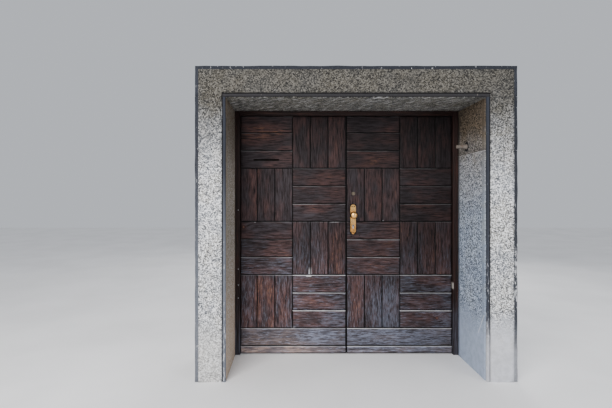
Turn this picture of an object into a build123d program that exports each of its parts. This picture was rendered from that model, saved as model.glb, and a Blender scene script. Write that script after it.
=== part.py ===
from build123d import *
from math import radians, sin
import os

os.makedirs("parts", exist_ok=True)

# A double-leaf wooden door with its wooden frame and the stone surround it stands in.
# Sizes are in millimetres. Inside this file x is 0 between the two leaves, y is 0 on the outer
# face of the boards and grows into the building, and z is 0 on the ground.

# Stone surround
opening_width = 1880.0
opening_height = 2058.0
stone_width = 225.0
recess_depth = 505.0
stone_rebate = 25.0
roll_radius = 11.0
quirk_width = 8.0
quirk_depth = 9.0
shoulder_radius = 7.0
margin_width = 27.0
margin_depth = 5.0
right_bed_height = 1673.0
cutter_reach = 1.0

# Iron pin in the right reveal
pin_length = 80.0
pin_radius = 14.0
pin_foot_radius = 17.0
pin_foot_length = 12.0
pin_depth = 60.0
pin_socket_gap = 0.3
pin_over_bed = 64.0
pin_forward = 190.0
pin_edge = 2.0

# Wooden frame
frame_face = 40.0
head_face = 36.0
stop_proud = 25.0
leaf_lap = 12.0
frame_edge = 3.0
tenon_length = 30.0
tenon_thickness = 12.0
tenon_shoulder = 12.0

# Gaps round the leaves
edge_gap = 3.0
meeting_gap = 7.0
floor_gap = 10.0

# Leaf core
core_thickness = 40.0
stile_width = 110.0
top_rail_width = 110.0
middle_rail_width = 130.0
bottom_rail_width = 180.0
rail_under_knob = 300.0
rail_tenon_length = 35.0
rail_tenon_thickness = 12.0
rail_tenon_shoulder = 12.0
panel_thickness = 20.0
tongue_thickness = 8.0
tongue_depth = 8.0
tongue_gap = 0.5
tongue_setback = 2.0

# Boards on the outer face
row_count = 4
columns_per_leaf = 2
boards_per_block = 3
top_trim = 11.0
side_trim = 11.0
board_thickness = 24.0
board_joint = 1.4
board_chamfer = 1.6
base_board_width = 149.5
strip_width = 61.0
strip_proud = 8.0
strip_bevel = 10.0
strip_groove = 4.0
strip_groove_height = 30.0

# Hinges, three a leaf
hinge_count = 3
hinge_end = 230.0
knuckle_radius = 8.0
knuckle_length = 45.0
knuckle_lift = 0.5
knuckle_gap = 0.3
hinge_pin_radius = 4.0
hinge_pin_gap = 0.05
hinge_pin_reach = 30.0
hinge_plate_width = 35.0
hinge_plate_thickness = 3.0

# Lock in the right leaf
backset = 55.0
knob_over_joint = 56.0
cylinder_drop = 92.0
case_depth = 86.0
case_thickness = 16.0
case_wall = 1.5
case_over_knob = 46.0
case_under_cylinder = 48.0
case_fit = 0.5
face_plate_width = 20.0
face_plate_length = 250.0
face_plate_thickness = 3.0
bolt_thickness = 11.0
bolt_fit = 0.3
bolt_rise = 10.0
bolt_plate_height = 18.0
bolt_head_depth = 34.0
latch_head_height = 20.0
latch_bevel = 7.0
dead_head_height = 28.0
arm_radius = 14.0
arm_width = 3.5
arm_nose_radius = 3.0
notch_gap = 0.7
notch_wall = 5.0
latch_half_turn = 25.0
dead_half_turn = 40.0
strike_gap = 1.5
hub_radius = 9.0
hub_fit = 0.1
spindle_side = 8.0
spindle_grip = 30.0

# Profile cylinder
plug_radius = 6.5
plug_fit = 0.05
cylinder_radius = 8.5
cylinder_foot = 24.5
cylinder_foot_width = 10.0
cylinder_fit = 0.3
cylinder_proud = 2.0
cam_width = 9.0
cam_slot_width = 10.0
keyway_width = 1.8
keyway_height = 8.5
keyway_depth = 12.0

# Back plates and knobs
plate_width = 47.0
plate_length = 252.0
plate_top_over_knob = 88.0
plate_thickness = 4.0
plate_neck_width = 26.0
plate_neck_length = 18.0
plate_neck_round = 6.0
plate_edge = 1.2
knob_radius = 31.0
knob_half_depth = 24.0
knob_reach = 65.0
knob_neck_radius = 10.0
knob_collar_radius = 13.0
knob_collar_length = 5.0
knob_collar_round = 1.6
knob_gap = 0.3
spindle_hole_radius = 8.0
wood_hole_radius = 10.0

# Round cover above the lock
rosette_radius = 16.0
rosette_thickness = 5.0
rosette_edge = 3.0
rosette_over_knob = 181.0
rosette_beside_lock = 2.5
rosette_hollow_radius = 9.0
rosette_hollow_depth = 1.5

# Letter slot in the left leaf, with its flap inside
slot_width = 214.0
slot_height = 18.0
slot_side_gap = 13.0
slot_over_joint = 70.0
flap_lap = 14.0
flap_side_lap = 4.0
flap_thickness = 3.0
flap_gap = 0.5
flap_pin_radius = 1.2
flap_pin_length = 6.0
flap_pin_fit = 0.05
bracket_width = 6.0
bracket_gap = 0.5
bracket_wall = 3.5

# Surface bolts inside the left leaf
rod_radius = 6.0
rod_length = 260.0
rod_setback = 3.0
rod_x = -58.0
rod_fit = 0.3
rod_rest_gap = 6.0
rod_travel = 22.0
grip_gap = 0.3
grip_radius = 5.0
grip_length = 16.0
staple_width = 34.0
staple_height = 18.0
staple_wall = 4.0
staple_end = 22.0

# Planes and edges that follow from the sizes above
half_opening = opening_width / 2
front_y = -(recess_depth + stop_proud)
stop_y = -stop_proud
core_y = board_thickness
back_y = board_thickness + core_thickness
core_mid_y = core_y + core_thickness / 2
frame_top = opening_height + stone_rebate
head_edge = opening_height - head_face
stop_x = half_opening - frame_face
rebate_x = stop_x + leaf_lap
core_outer_x = rebate_x - edge_gap
board_outer_x = stop_x - edge_gap
meeting_x = meeting_gap / 2
core_top = head_edge + leaf_lap - edge_gap
board_top = head_edge - edge_gap
strip_top = floor_gap + strip_width
base_top = strip_top + base_board_width
row_height = (board_top + top_trim - base_top) / row_count
column_width = (board_outer_x + side_trim - meeting_x) / columns_per_leaf
lying_pitch = row_height / boards_per_block
standing_pitch = column_width / boards_per_block
stile_inner_x = core_outer_x - stile_width
meeting_stile_x = meeting_x + stile_width
hinge_x = (core_outer_x + rebate_x) / 2
hinge_y = back_y + knuckle_radius + knuckle_lift
lock_x = meeting_x + backset
knob_height = base_top + 2 * row_height + knob_over_joint
middle_rail_height = knob_height - rail_under_knob
pin_height = right_bed_height + pin_over_bed
rosette_x = lock_x + rosette_beside_lock
rosette_height = knob_height + rosette_over_knob
slot_x = -(stile_inner_x - slot_side_gap - slot_width / 2)
slot_z = base_top + (row_count - 1) * row_height + slot_over_joint
cylinder_height = knob_height - cylinder_drop
case_top = knob_height + case_over_knob
case_bottom = cylinder_height - case_under_cylinder
face_plate_mid = (case_top + case_bottom) / 2
latch_throw = 2 * arm_radius * sin(radians(latch_half_turn))
dead_throw = 2 * arm_radius * sin(radians(dead_half_turn))

# The outer box is centred on the origin, so the door is moved by this much on writing
outer_reach = recess_depth + stop_proud
inner_reach = back_y + plate_thickness + knob_reach
origin_shift = (outer_reach - inner_reach) / 2


def block(x0, x1, y0, y1, z0, z1):
    middle = Pos((x0 + x1) / 2, (y0 + y1) / 2, (z0 + z1) / 2)
    return middle * Box(abs(x1 - x0), abs(y1 - y0), abs(z1 - z0))


def round_bar(radius, x, z, y0, y1):
    return Pos(x, (y0 + y1) / 2, z) * Rot(90, 0, 0) * Cylinder(radius, abs(y1 - y0))


def cross_bar(radius, y, z, x0, x1):
    return Pos((x0 + x1) / 2, y, z) * Rot(0, 90, 0) * Cylinder(radius, abs(x1 - x0))


def post(radius, x, y, z0, z1):
    return Pos(x, y, (z0 + z1) / 2) * Cylinder(radius, z1 - z0)


def write(name, *solids):
    # A node of several like pieces is a group of separate solids
    moved = [Pos(0, origin_shift, 0) * solid for solid in solids]
    shape = moved[0] if len(moved) == 1 else Compound(children=moved)
    export_step(shape, f"parts/{name}.step")


def on_side(side, solid):
    # Pieces are drawn for the right leaf and mirrored for the left one
    return solid if side == "right" else mirror(solid, about=Plane.YZ)


def cut_all(solids, cutters):
    return [solid - cutters for solid in solids]


# Stone surround

def stone_section():
    # Drawn for the right jamb, with the reveal on the line x = 0
    section = Pos(stone_width / 2, (front_y + back_y) / 2) * Rectangle(stone_width, back_y - front_y)
    section -= Pos(stone_rebate / 2, (stop_y + back_y) / 2) * Rectangle(stone_rebate, back_y - stop_y)
    section -= Pos(stone_width - margin_width / 2, front_y + margin_depth / 2) * Rectangle(
        margin_width, margin_depth
    )
    roll = 2 * roll_radius
    section -= Pos(roll + quirk_width / 2, front_y + quirk_depth / 2) * Rectangle(
        quirk_width, quirk_depth
    )
    section -= Pos(quirk_depth / 2, front_y + roll + quirk_width / 2) * Rectangle(
        quirk_depth, quirk_width
    )
    corners = section.vertices()
    shoulders = [
        corners.sort_by_distance((roll, front_y))[0],
        corners.sort_by_distance((0, front_y + roll))[0],
    ]
    section = fillet(shoulders, shoulder_radius)
    arris = section.vertices().sort_by_distance((0, front_y))[0]
    return fillet(arris, roll_radius)


def stone_surround():
    path = Polyline(
        (half_opening, 0, 0),
        (half_opening, 0, opening_height),
        (-half_opening, 0, opening_height),
        (-half_opening, 0, 0),
    )
    start = Pos(half_opening, 0, 0) * stone_section()
    return sweep(start, path=path, transition=Transition.RIGHT)


def stone_blocks():
    # The lintel lies on the jambs, and the right jamb has a second bed joint
    surround = stone_surround()
    reach = half_opening + stone_width + cutter_reach
    top = opening_height + stone_width + cutter_reach
    y0 = front_y - cutter_reach
    y1 = back_y + cutter_reach
    lintel = surround & block(-reach, reach, y0, y1, opening_height, top)
    left = surround & block(-reach, 0, y0, y1, 0, opening_height)
    right = surround & block(0, reach, y0, y1, 0, opening_height)
    upper = right & block(0, reach, y0, y1, right_bed_height, opening_height)
    lower = right & block(0, reach, y0, y1, 0, right_bed_height)
    socket_radius = pin_radius + pin_socket_gap
    socket = cross_bar(socket_radius, -pin_forward, pin_height, half_opening, half_opening + pin_depth)
    write("stone_lintel", lintel)
    write("stone_jamb_left", left)
    write("stone_jamb_right_lower", lower)
    write("stone_jamb_right_upper", upper - socket)


def wall_pin():
    # A plain iron pin leaded into the reveal, with a thicker foot at the stone
    end = half_opening + pin_depth
    shank = cross_bar(pin_radius, -pin_forward, pin_height, half_opening - pin_length, end)
    shank = chamfer(shank.edges().sort_by(Axis.X)[0], pin_edge)
    foot_start = half_opening - pin_foot_length
    foot = cross_bar(pin_foot_radius, -pin_forward, pin_height, foot_start, half_opening)
    foot = chamfer(foot.edges().sort_by(Axis.X)[0], pin_edge)
    write("wall_pin", shank + foot)


# Wooden frame

def head_tenon(x0, x1):
    middle = (stop_y + core_y) / 2
    half = tenon_thickness / 2
    return block(x0, x1, middle - half, middle + half, head_edge + tenon_shoulder, frame_top - tenon_shoulder)


def frame_post():
    outer = half_opening + stone_rebate
    stop = block(stop_x, outer, stop_y, core_y, 0, frame_top)
    front_edge = stop.edges().filter_by(Axis.Z).sort_by_distance((stop_x, stop_y, frame_top / 2))[0]
    stop = chamfer(front_edge, frame_edge)
    rear = block(rebate_x, outer, core_y, back_y, 0, frame_top)
    return stop + rear - head_tenon(stop_x, stop_x + tenon_length)


def frame_head():
    front = block(-stop_x, stop_x, stop_y, core_y, head_edge, frame_top)
    lower_edge = front.edges().filter_by(Axis.X).sort_by_distance((0, stop_y, head_edge))[0]
    front = chamfer(lower_edge, frame_edge)
    rear = block(-rebate_x, rebate_x, core_y, back_y, head_edge + leaf_lap, frame_top)
    reach = stop_x + tenon_length
    return front + rear + head_tenon(-reach, reach)


def wooden_frame():
    for side in ("left", "right"):
        write(f"frame_post_{side}", on_side(side, frame_post()))
    write("frame_head", frame_head())


# Leaf core: stiles, rails and panels

def rail_spans():
    half = middle_rail_width / 2
    return {
        "bottom": (floor_gap, floor_gap + bottom_rail_width),
        "middle": (middle_rail_height - half, middle_rail_height + half),
        "top": (core_top - top_rail_width, core_top),
    }


def rail_tenons(low, high):
    y0 = core_mid_y - rail_tenon_thickness / 2
    reach = rail_tenon_length
    shoulder = rail_tenon_shoulder
    return block(
        meeting_stile_x - reach, stile_inner_x + reach,
        y0, y0 + rail_tenon_thickness, low + shoulder, high - shoulder,
    )


def panel_openings():
    spans = rail_spans()
    return [
        (spans["bottom"][1], spans["middle"][0]),
        (spans["middle"][1], spans["top"][0]),
    ]


def panel_tongue(low, high, depth):
    y0 = core_y + tongue_setback
    return block(
        meeting_stile_x - depth, stile_inner_x + depth,
        y0, y0 + tongue_thickness, low - depth, high + depth,
    )


def panel(low, high):
    body = block(meeting_stile_x, stile_inner_x, core_y, core_y + panel_thickness, low, high)
    return body + panel_tongue(low, high, tongue_depth - tongue_gap)


def core_cuts():
    # Grooves for the panels and mortices for the rails
    grooves = [panel_tongue(low, high, tongue_depth) for low, high in panel_openings()]
    mortices = [rail_tenons(low, high) for low, high in rail_spans().values()]
    return grooves, mortices


def stile(x0, x1):
    grooves, mortices = core_cuts()
    return block(x0, x1, core_y, back_y, floor_gap, core_top) - grooves - mortices


def rail(low, high):
    grooves, _ = core_cuts()
    body = block(meeting_stile_x, stile_inner_x, core_y, back_y, low, high)
    return body + rail_tenons(low, high) - grooves


def leaf_core(side):
    meeting_stile = on_side(side, stile(meeting_x, meeting_stile_x))
    panels = [on_side(side, panel(low, high)) for low, high in panel_openings()]
    if side == "right":
        meeting_stile -= lock_cuts()
    else:
        meeting_stile -= strike_cuts()
        panels = cut_all(panels, [letter_slot()])
    write(f"hinge_stile_{side}", on_side(side, stile(stile_inner_x, core_outer_x)))
    write(f"meeting_stile_{side}", meeting_stile)
    for name, (low, high) in rail_spans().items():
        write(f"{name}_rail_{side}", on_side(side, rail(low, high)))
    write(f"back_panels_{side}", *panels)


# Boards on the outer face, in blocks that lie and stand in turn

def board(x0, x1, z0, z1):
    half = board_joint / 2
    plank = block(x0 + half, x1 - half, 0, board_thickness, z0 + half, z1 - half)
    front = plank.faces().sort_by(Axis.Y)[0]
    return chamfer(front.edges(), board_chamfer)


def board_block(x0, x1, z0, z1, lying):
    # Boards are laid from below or from the meeting edge, and the last one takes what is left
    boards = []
    for index in range(boards_per_block):
        last = index == boards_per_block - 1
        if lying:
            low = z0 + index * lying_pitch
            boards.append(board(x0, x1, low, z1 if last else low + lying_pitch))
        else:
            near = x0 + index * standing_pitch
            boards.append(board(near, x1 if last else near + standing_pitch, z0, z1))
    return boards


def cladding(side):
    # Columns are numbered from left to right over both leaves
    middle = meeting_x + column_width
    inner_column = 2 if side == "left" else 3
    outer_column = 1 if side == "left" else 4
    columns = [("inner", inner_column, meeting_x, middle), ("outer", outer_column, middle, board_outer_x)]
    if side == "left":
        cutters = [letter_slot()]
    else:
        cutters = [wood_spindle_hole(0, board_thickness), euro_profile(0, board_thickness, cylinder_fit)]
    for row in range(1, row_count + 1):
        low = base_top + (row_count - row) * row_height
        high = board_top if row == 1 else low + row_height
        for place, column, x0, x1 in columns:
            lying = (row + column) % 2 == 0
            boards = [on_side(side, plank) for plank in board_block(x0, x1, low, high, lying)]
            write(f"boards_{side}_row{row}_{place}", *cut_all(boards, cutters))


def base_board(side):
    write(f"base_board_{side}", on_side(side, board(meeting_x, board_outer_x, strip_top, base_top)))


def bottom_strip(side):
    # A thicker strip with a bevelled top edge and one groove along it
    y0 = -strip_proud
    half = board_joint / 2
    strip = block(meeting_x, board_outer_x, y0, board_thickness, floor_gap, strip_top - half)
    top_edge = strip.edges().filter_by(Axis.X).sort_by_distance((0, y0, strip_top))[0]
    strip = chamfer(top_edge, strip_proud, strip_bevel)
    groove_z = floor_gap + strip_groove_height
    groove = Pos((meeting_x + board_outer_x) / 2, y0, groove_z) * Rot(45, 0, 0) * Box(
        board_outer_x, strip_groove, strip_groove
    )
    write(f"bottom_strip_{side}", on_side(side, strip - groove))


# Hinges on the inner face

def hinge_heights():
    low = floor_gap + hinge_end
    high = core_top - hinge_end
    return [low + (high - low) * index / (hinge_count - 1) for index in range(hinge_count)]


def frame_half(z):
    # Lower knuckle, standing pin and plate in one piece
    high = z - knuckle_gap / 2
    low = z - knuckle_length
    plate_end = rebate_x + hinge_plate_width
    half = block(rebate_x, plate_end, back_y, back_y + hinge_plate_thickness, low, high)
    half += post(knuckle_radius, hinge_x, hinge_y, low, high)
    return half + post(hinge_pin_radius, hinge_x, hinge_y, low, z + hinge_pin_reach)


def leaf_half(z):
    low = z + knuckle_gap / 2
    high = z + knuckle_length
    plate_end = core_outer_x - hinge_plate_width
    half = block(plate_end, core_outer_x, back_y, back_y + hinge_plate_thickness, low, high)
    half += post(knuckle_radius, hinge_x, hinge_y, low, high)
    bore_end = z + hinge_pin_reach + knuckle_gap
    return half - post(hinge_pin_radius + hinge_pin_gap, hinge_x, hinge_y, low, bore_end)


def hinges():
    frame_halves = []
    for side in ("left", "right"):
        frame_halves += [on_side(side, frame_half(z)) for z in hinge_heights()]
        write(f"hinge_leaf_halves_{side}", *[on_side(side, leaf_half(z)) for z in hinge_heights()])
    write("hinge_frame_halves", *frame_halves)


# Lock

def euro_profile(y0, y1, gap=0.0):
    # Round barrel with a narrow foot below it
    barrel = round_bar(cylinder_radius + gap, lock_x, cylinder_height, y0, y1)
    half = cylinder_foot_width / 2 + gap
    foot_end = cylinder_height - cylinder_foot + cylinder_foot_width / 2
    foot = block(lock_x - half, lock_x + half, y0, y1, foot_end, cylinder_height)
    return barrel + foot + round_bar(half, lock_x, foot_end, y0, y1)


def wood_spindle_hole(y0, y1):
    return round_bar(wood_hole_radius, lock_x, knob_height, y0, y1)


def case_box(inset):
    half = case_thickness / 2 - inset
    return block(
        meeting_x + face_plate_thickness, meeting_x + case_depth - inset,
        core_mid_y - half, core_mid_y + half, case_bottom + inset, case_top - inset,
    )


def face_plate(x0):
    half = face_plate_width / 2
    low = face_plate_mid - face_plate_length / 2
    return block(
        x0, x0 + face_plate_thickness,
        core_mid_y - half, core_mid_y + half, low, low + face_plate_length,
    )


def bolt_window(axis_z, height, x0, x1, gap):
    half = bolt_thickness / 2 + gap
    low = axis_z + bolt_rise - gap
    return block(x0, x1, core_mid_y - half, core_mid_y + half, low, low + height + 2 * gap)


def bolt_windows(x0, x1, gap):
    return [
        bolt_window(knob_height, latch_head_height, x0, x1, gap),
        bolt_window(cylinder_height, dead_head_height, x0, x1, gap),
    ]


def lock_cuts():
    # Mortice for the case, recess for its plate, and the holes through the stile
    return [
        case_box(-case_fit),
        face_plate(meeting_x),
        wood_spindle_hole(core_y, back_y),
        euro_profile(core_y, back_y, cylinder_fit),
    ]


def lock_case():
    front_end = meeting_x + face_plate_thickness + case_wall
    y0 = core_mid_y - case_thickness / 2
    y1 = core_mid_y + case_thickness / 2
    case = case_box(0) - case_box(case_wall) + face_plate(meeting_x)
    case -= bolt_windows(meeting_x, front_end, bolt_fit)
    case -= round_bar(hub_radius + hub_fit, lock_x, knob_height, y0, y1)
    case -= euro_profile(y0, y1, cylinder_fit)
    write("lock_case", case)


def turned_arm(axis_z, tilt):
    # A rounded nose on a slim arm, tilted from upright towards the hinge side
    nose = Pos(0, 0, arm_radius) * Rot(90, 0, 0) * Cylinder(arm_nose_radius, cam_width)
    arm = Pos(0, 0, arm_radius / 2) * Box(arm_width, cam_width, arm_radius)
    return Pos(lock_x, core_mid_y, axis_z) * Rot(0, tilt, 0) * (nose + arm)


def sliding_bolt(axis_z, head_height, throw):
    # Drawn with its head flush in the plate and its notch over the tilted arm
    head_end = meeting_x + bolt_head_depth
    notch_x = lock_x + throw / 2
    half_notch = arm_nose_radius + notch_gap
    half = bolt_thickness / 2
    low = axis_z + bolt_rise
    y0 = core_mid_y - half
    y1 = core_mid_y + half
    head = block(meeting_x, head_end, y0, y1, low, low + head_height)
    tail = block(head_end, notch_x + half_notch + notch_wall, y0, y1, low, low + bolt_plate_height)
    notch_top = axis_z + arm_radius + half_notch
    notch = block(notch_x - half_notch, notch_x + half_notch, y0, y1, low, notch_top)
    return head + tail - notch


def latch_bolt():
    bolt = sliding_bolt(knob_height, latch_head_height, latch_throw)
    nose = bolt.edges().filter_by(Axis.Z).sort_by_distance(
        (meeting_x, core_mid_y - bolt_thickness / 2, knob_height + bolt_rise)
    )[0]
    write("latch_bolt", chamfer(nose, latch_bevel))


def dead_bolt():
    write("dead_bolt", sliding_bolt(cylinder_height, dead_head_height, dead_throw))


def square_bar(y0, y1):
    half = spindle_side / 2
    return block(lock_x - half, lock_x + half, y0, y1, knob_height - half, knob_height + half)


def follower():
    half = case_thickness / 2
    hub = round_bar(hub_radius, lock_x, knob_height, core_mid_y - half, core_mid_y + half)
    arm = turned_arm(knob_height, latch_half_turn)
    write("lock_follower", hub + arm - square_bar(core_mid_y - half, core_mid_y + half))


def knob_profile():
    # Drawn with the spindle on the y axis and the back plate at y = 0
    start = -knob_gap
    ball = Pos(0, -(knob_reach - knob_half_depth)) * Ellipse(knob_radius, knob_half_depth)
    neck_end = -(knob_reach - knob_half_depth)
    neck = Pos(knob_neck_radius / 2, (start + neck_end) / 2) * Rectangle(
        knob_neck_radius, start - neck_end
    )
    collar = Pos(knob_collar_radius / 2, start - knob_collar_length / 2) * Rectangle(
        knob_collar_radius, knob_collar_length
    )
    right_side = Pos(knob_radius, -knob_reach / 2) * Rectangle(2 * knob_radius, 2 * knob_reach)
    return (ball + neck + collar) & right_side


def turned_knob():
    knob = revolve(knob_profile(), axis=Axis.Y)
    middle_radius = (knob_neck_radius + knob_collar_radius) / 2
    collar_edges = knob.edges().filter_by(GeomType.CIRCLE).filter_by(
        lambda edge: edge.radius > middle_radius
    )
    return fillet(collar_edges, knob_collar_round)


def knobs():
    outer = Pos(lock_x, -plate_thickness, knob_height) * turned_knob()
    inner = Pos(lock_x, back_y + plate_thickness, knob_height) * Rot(0, 0, 180) * turned_knob()
    outer_end = -(plate_thickness + spindle_grip)
    inner_end = back_y + plate_thickness + spindle_grip
    write("knob_outer_with_spindle", outer + square_bar(outer_end, inner_end))
    write("knob_inner", inner - square_bar(back_y, inner_end))


def back_plate_outline():
    # Round top, straight sides and a narrower round foot
    top = plate_top_over_knob
    bottom = plate_top_over_knob - plate_length
    half = plate_width / 2
    neck = plate_neck_width / 2
    shoulder = bottom + plate_neck_length
    body = Pos(0, (top - half + shoulder) / 2) * Rectangle(plate_width, top - half - shoulder)
    body += Pos(0, top - half) * Circle(half)
    foot = Pos(0, bottom + neck) * Circle(neck)
    foot += Pos(0, (bottom + neck + shoulder + neck) / 2) * Rectangle(plate_neck_width, shoulder - bottom)
    shoulders = body.vertices().sort_by(Axis.Y)[:2]
    return fillet(shoulders, plate_neck_round) + foot


def back_plate(y0):
    outline = Plane.XZ * back_plate_outline()
    plate = extrude(outline, plate_thickness)
    front = plate.faces().sort_by(Axis.Y)[0]
    plate = chamfer(front.edges(), plate_edge)
    return Pos(lock_x, y0, knob_height) * plate


def back_plates():
    holes = [
        round_bar(spindle_hole_radius, lock_x, knob_height, -plate_thickness, back_y + plate_thickness),
        euro_profile(-plate_thickness, back_y + plate_thickness, cylinder_fit),
    ]
    turned = Pos(2 * lock_x, back_y, 0) * Rot(0, 0, 180) * back_plate(0)
    write("back_plates", back_plate(0) - holes, turned - holes)


def lock_cylinder():
    y0 = -(plate_thickness + cylinder_proud)
    y1 = back_y + plate_thickness + cylinder_proud
    half_slot = cam_slot_width / 2
    body = euro_profile(y0, y1)
    body -= block(
        lock_x - cylinder_radius - cutter_reach, lock_x + cylinder_radius + cutter_reach,
        core_mid_y - half_slot, core_mid_y + half_slot,
        cylinder_height - cylinder_radius - cylinder_fit,
        cylinder_height + cylinder_radius + cutter_reach,
    )
    body -= round_bar(plug_radius + plug_fit, lock_x, cylinder_height, y0, y1)
    half_cam = cam_width / 2
    plug = round_bar(plug_radius, lock_x, cylinder_height, y0, y1)
    plug += round_bar(cylinder_radius, lock_x, cylinder_height, core_mid_y - half_cam, core_mid_y + half_cam)
    plug += turned_arm(cylinder_height, dead_half_turn)
    half_key = keyway_width / 2
    plug -= block(
        lock_x - half_key, lock_x + half_key, y0, y0 + keyway_depth,
        cylinder_height - keyway_height / 2, cylinder_height + keyway_height / 2,
    )
    write("cylinder_body", body)
    write("cylinder_plug", plug)


def strike_cuts():
    pocket_end = -(meeting_x + dead_throw + face_plate_thickness)
    return [face_plate(-meeting_x - face_plate_thickness), *bolt_windows(pocket_end, -meeting_x, strike_gap)]


def strike_plate():
    x0 = -meeting_x - face_plate_thickness
    write("strike_plate", face_plate(x0) - bolt_windows(x0, -meeting_x, strike_gap))


def rosette():
    cover = round_bar(rosette_radius, rosette_x, rosette_height, -rosette_thickness, 0)
    front = cover.faces().sort_by(Axis.Y)[0]
    cover = fillet(front.edges(), rosette_edge)
    hollow_end = -rosette_thickness + rosette_hollow_depth
    hollow = round_bar(
        rosette_hollow_radius, rosette_x, rosette_height, -rosette_thickness, hollow_end
    )
    write("round_cover", cover - hollow)


# Letter slot

def letter_slot():
    half_width = slot_width / 2
    half_height = slot_height / 2
    return block(
        slot_x - half_width, slot_x + half_width, 0, core_y + panel_thickness,
        slot_z - half_height, slot_z + half_height,
    )


def flap_axis():
    # The flap hangs straight down from pins in the middle of its thickness
    axis_y = core_y + panel_thickness + flap_gap + flap_thickness / 2
    axis_z = slot_z + slot_height / 2 + flap_lap
    return axis_y, axis_z


def letter_flap():
    axis_y, axis_z = flap_axis()
    half = slot_width / 2 + flap_side_lap
    half_thickness = flap_thickness / 2
    low = slot_z - slot_height / 2 - flap_lap
    plate = block(
        slot_x - half, slot_x + half, axis_y - half_thickness, axis_y + half_thickness, low, axis_z
    )
    round_top = cross_bar(half_thickness, axis_y, axis_z, slot_x - half, slot_x + half)
    reach = half + flap_pin_length
    pins = cross_bar(flap_pin_radius, axis_y, axis_z, slot_x - reach, slot_x + reach)
    write("letter_flap", plate + round_top + pins)


def flap_brackets():
    axis_y, axis_z = flap_axis()
    wall = flap_pin_radius + bracket_wall
    near = slot_width / 2 + flap_side_lap + bracket_gap
    far = near + bracket_width
    bore_radius = flap_pin_radius + flap_pin_fit
    bore = cross_bar(bore_radius, axis_y, axis_z, slot_x - far, slot_x + far)
    brackets = []
    for x0, x1 in ((-far, -near), (near, far)):
        lug = block(
            slot_x + x0, slot_x + x1, core_y + panel_thickness, axis_y + wall,
            axis_z - wall, axis_z + wall,
        )
        brackets.append(lug - bore)
    write("letter_flap_brackets", *brackets)


# Surface bolts that hold the left leaf

def bolt_axis_y():
    return back_y + rod_setback + rod_radius


def bolt_rod(low):
    y = bolt_axis_y()
    rod = post(rod_radius, rod_x, y, low, low + rod_length)
    grip = round_bar(grip_radius, rod_x, low + rod_length / 2, y, y + rod_radius + grip_length)
    return rod + grip


def staple(z):
    y1 = bolt_axis_y() + rod_radius + staple_wall
    half = staple_width / 2
    rise = staple_height / 2
    body = block(rod_x - half, rod_x + half, back_y, y1, z - rise, z + rise)
    outer_edges = body.edges().filter_by(Axis.Z).sort_by(Axis.Y)[-2:]
    body = fillet(outer_edges, staple_wall)
    return body - post(rod_radius + rod_fit, rod_x, bolt_axis_y(), z - rise, z + rise)


def bolt_staples(low, way):
    # One staple stops the grip at rest, one where it ends its travel, one guides the far end
    middle = low + rod_length / 2
    reach = grip_radius + staple_height / 2 + grip_gap
    end = middle + way * (rod_length / 2 - staple_end)
    return [staple(middle - way * reach), staple(middle + way * (reach + rod_travel)), staple(end)]


def surface_bolts():
    top_low = core_top - rod_rest_gap - rod_length
    bottom_low = floor_gap + rod_rest_gap
    write("bolt_top", bolt_rod(top_low))
    write("bolt_bottom", bolt_rod(bottom_low))
    write("bolt_staples", *bolt_staples(bottom_low, -1), *bolt_staples(top_low, 1))
    write("bolt_keeper", staple(head_edge + leaf_lap + staple_height / 2))


def report_motion():
    # Joint places in the moved frame, in metres
    for side, x in (("left", -hinge_x), ("right", hinge_x)):
        print(f"leaf {side} hinge", x / 1000, (hinge_y + origin_shift) / 1000)
    print("knob axis", lock_x / 1000, (core_mid_y + origin_shift) / 1000, knob_height / 1000)
    print("cylinder axis", lock_x / 1000, cylinder_height / 1000)
    print("latch throw", latch_throw / 1000, "for radians", radians(2 * latch_half_turn))
    print("dead throw", dead_throw / 1000, "for radians", radians(2 * dead_half_turn))
    flap_y, flap_z = flap_axis()
    print("flap axis", (flap_y + origin_shift) / 1000, flap_z / 1000)
    print("origin shift", origin_shift / 1000)


stone_blocks()
wall_pin()
wooden_frame()
for leaf_side in ("left", "right"):
    leaf_core(leaf_side)
    cladding(leaf_side)
    base_board(leaf_side)
    bottom_strip(leaf_side)
hinges()
lock_case()
latch_bolt()
dead_bolt()
follower()
knobs()
back_plates()
lock_cylinder()
strike_plate()
rosette()
letter_flap()
flap_brackets()
surface_bolts()
report_motion()
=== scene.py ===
import bmesh
import bpy
import random
from math import ceil, pi, radians
from mathutils import Euler, Matrix, Vector, noise


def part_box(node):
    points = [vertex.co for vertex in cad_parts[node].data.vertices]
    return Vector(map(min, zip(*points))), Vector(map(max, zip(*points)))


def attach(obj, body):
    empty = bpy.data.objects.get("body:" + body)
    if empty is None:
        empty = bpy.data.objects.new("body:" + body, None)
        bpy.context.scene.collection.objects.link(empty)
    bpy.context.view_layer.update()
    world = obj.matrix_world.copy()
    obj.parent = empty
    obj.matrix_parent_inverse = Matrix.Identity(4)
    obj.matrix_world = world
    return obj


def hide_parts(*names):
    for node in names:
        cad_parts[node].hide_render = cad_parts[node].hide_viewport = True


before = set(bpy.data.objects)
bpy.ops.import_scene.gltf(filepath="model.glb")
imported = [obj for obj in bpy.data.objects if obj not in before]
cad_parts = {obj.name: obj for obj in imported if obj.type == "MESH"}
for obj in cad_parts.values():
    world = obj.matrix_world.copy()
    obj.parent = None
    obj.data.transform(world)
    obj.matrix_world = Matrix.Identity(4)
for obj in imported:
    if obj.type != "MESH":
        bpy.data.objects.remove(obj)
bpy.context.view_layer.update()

# A double-leaf board door in a stone surround. Metres, +Z up, the outer face looks towards -Y.


# Reading places from the frame

def lowOf(node):
    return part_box(node)[0]


def highOf(node):
    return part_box(node)[1]


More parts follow.
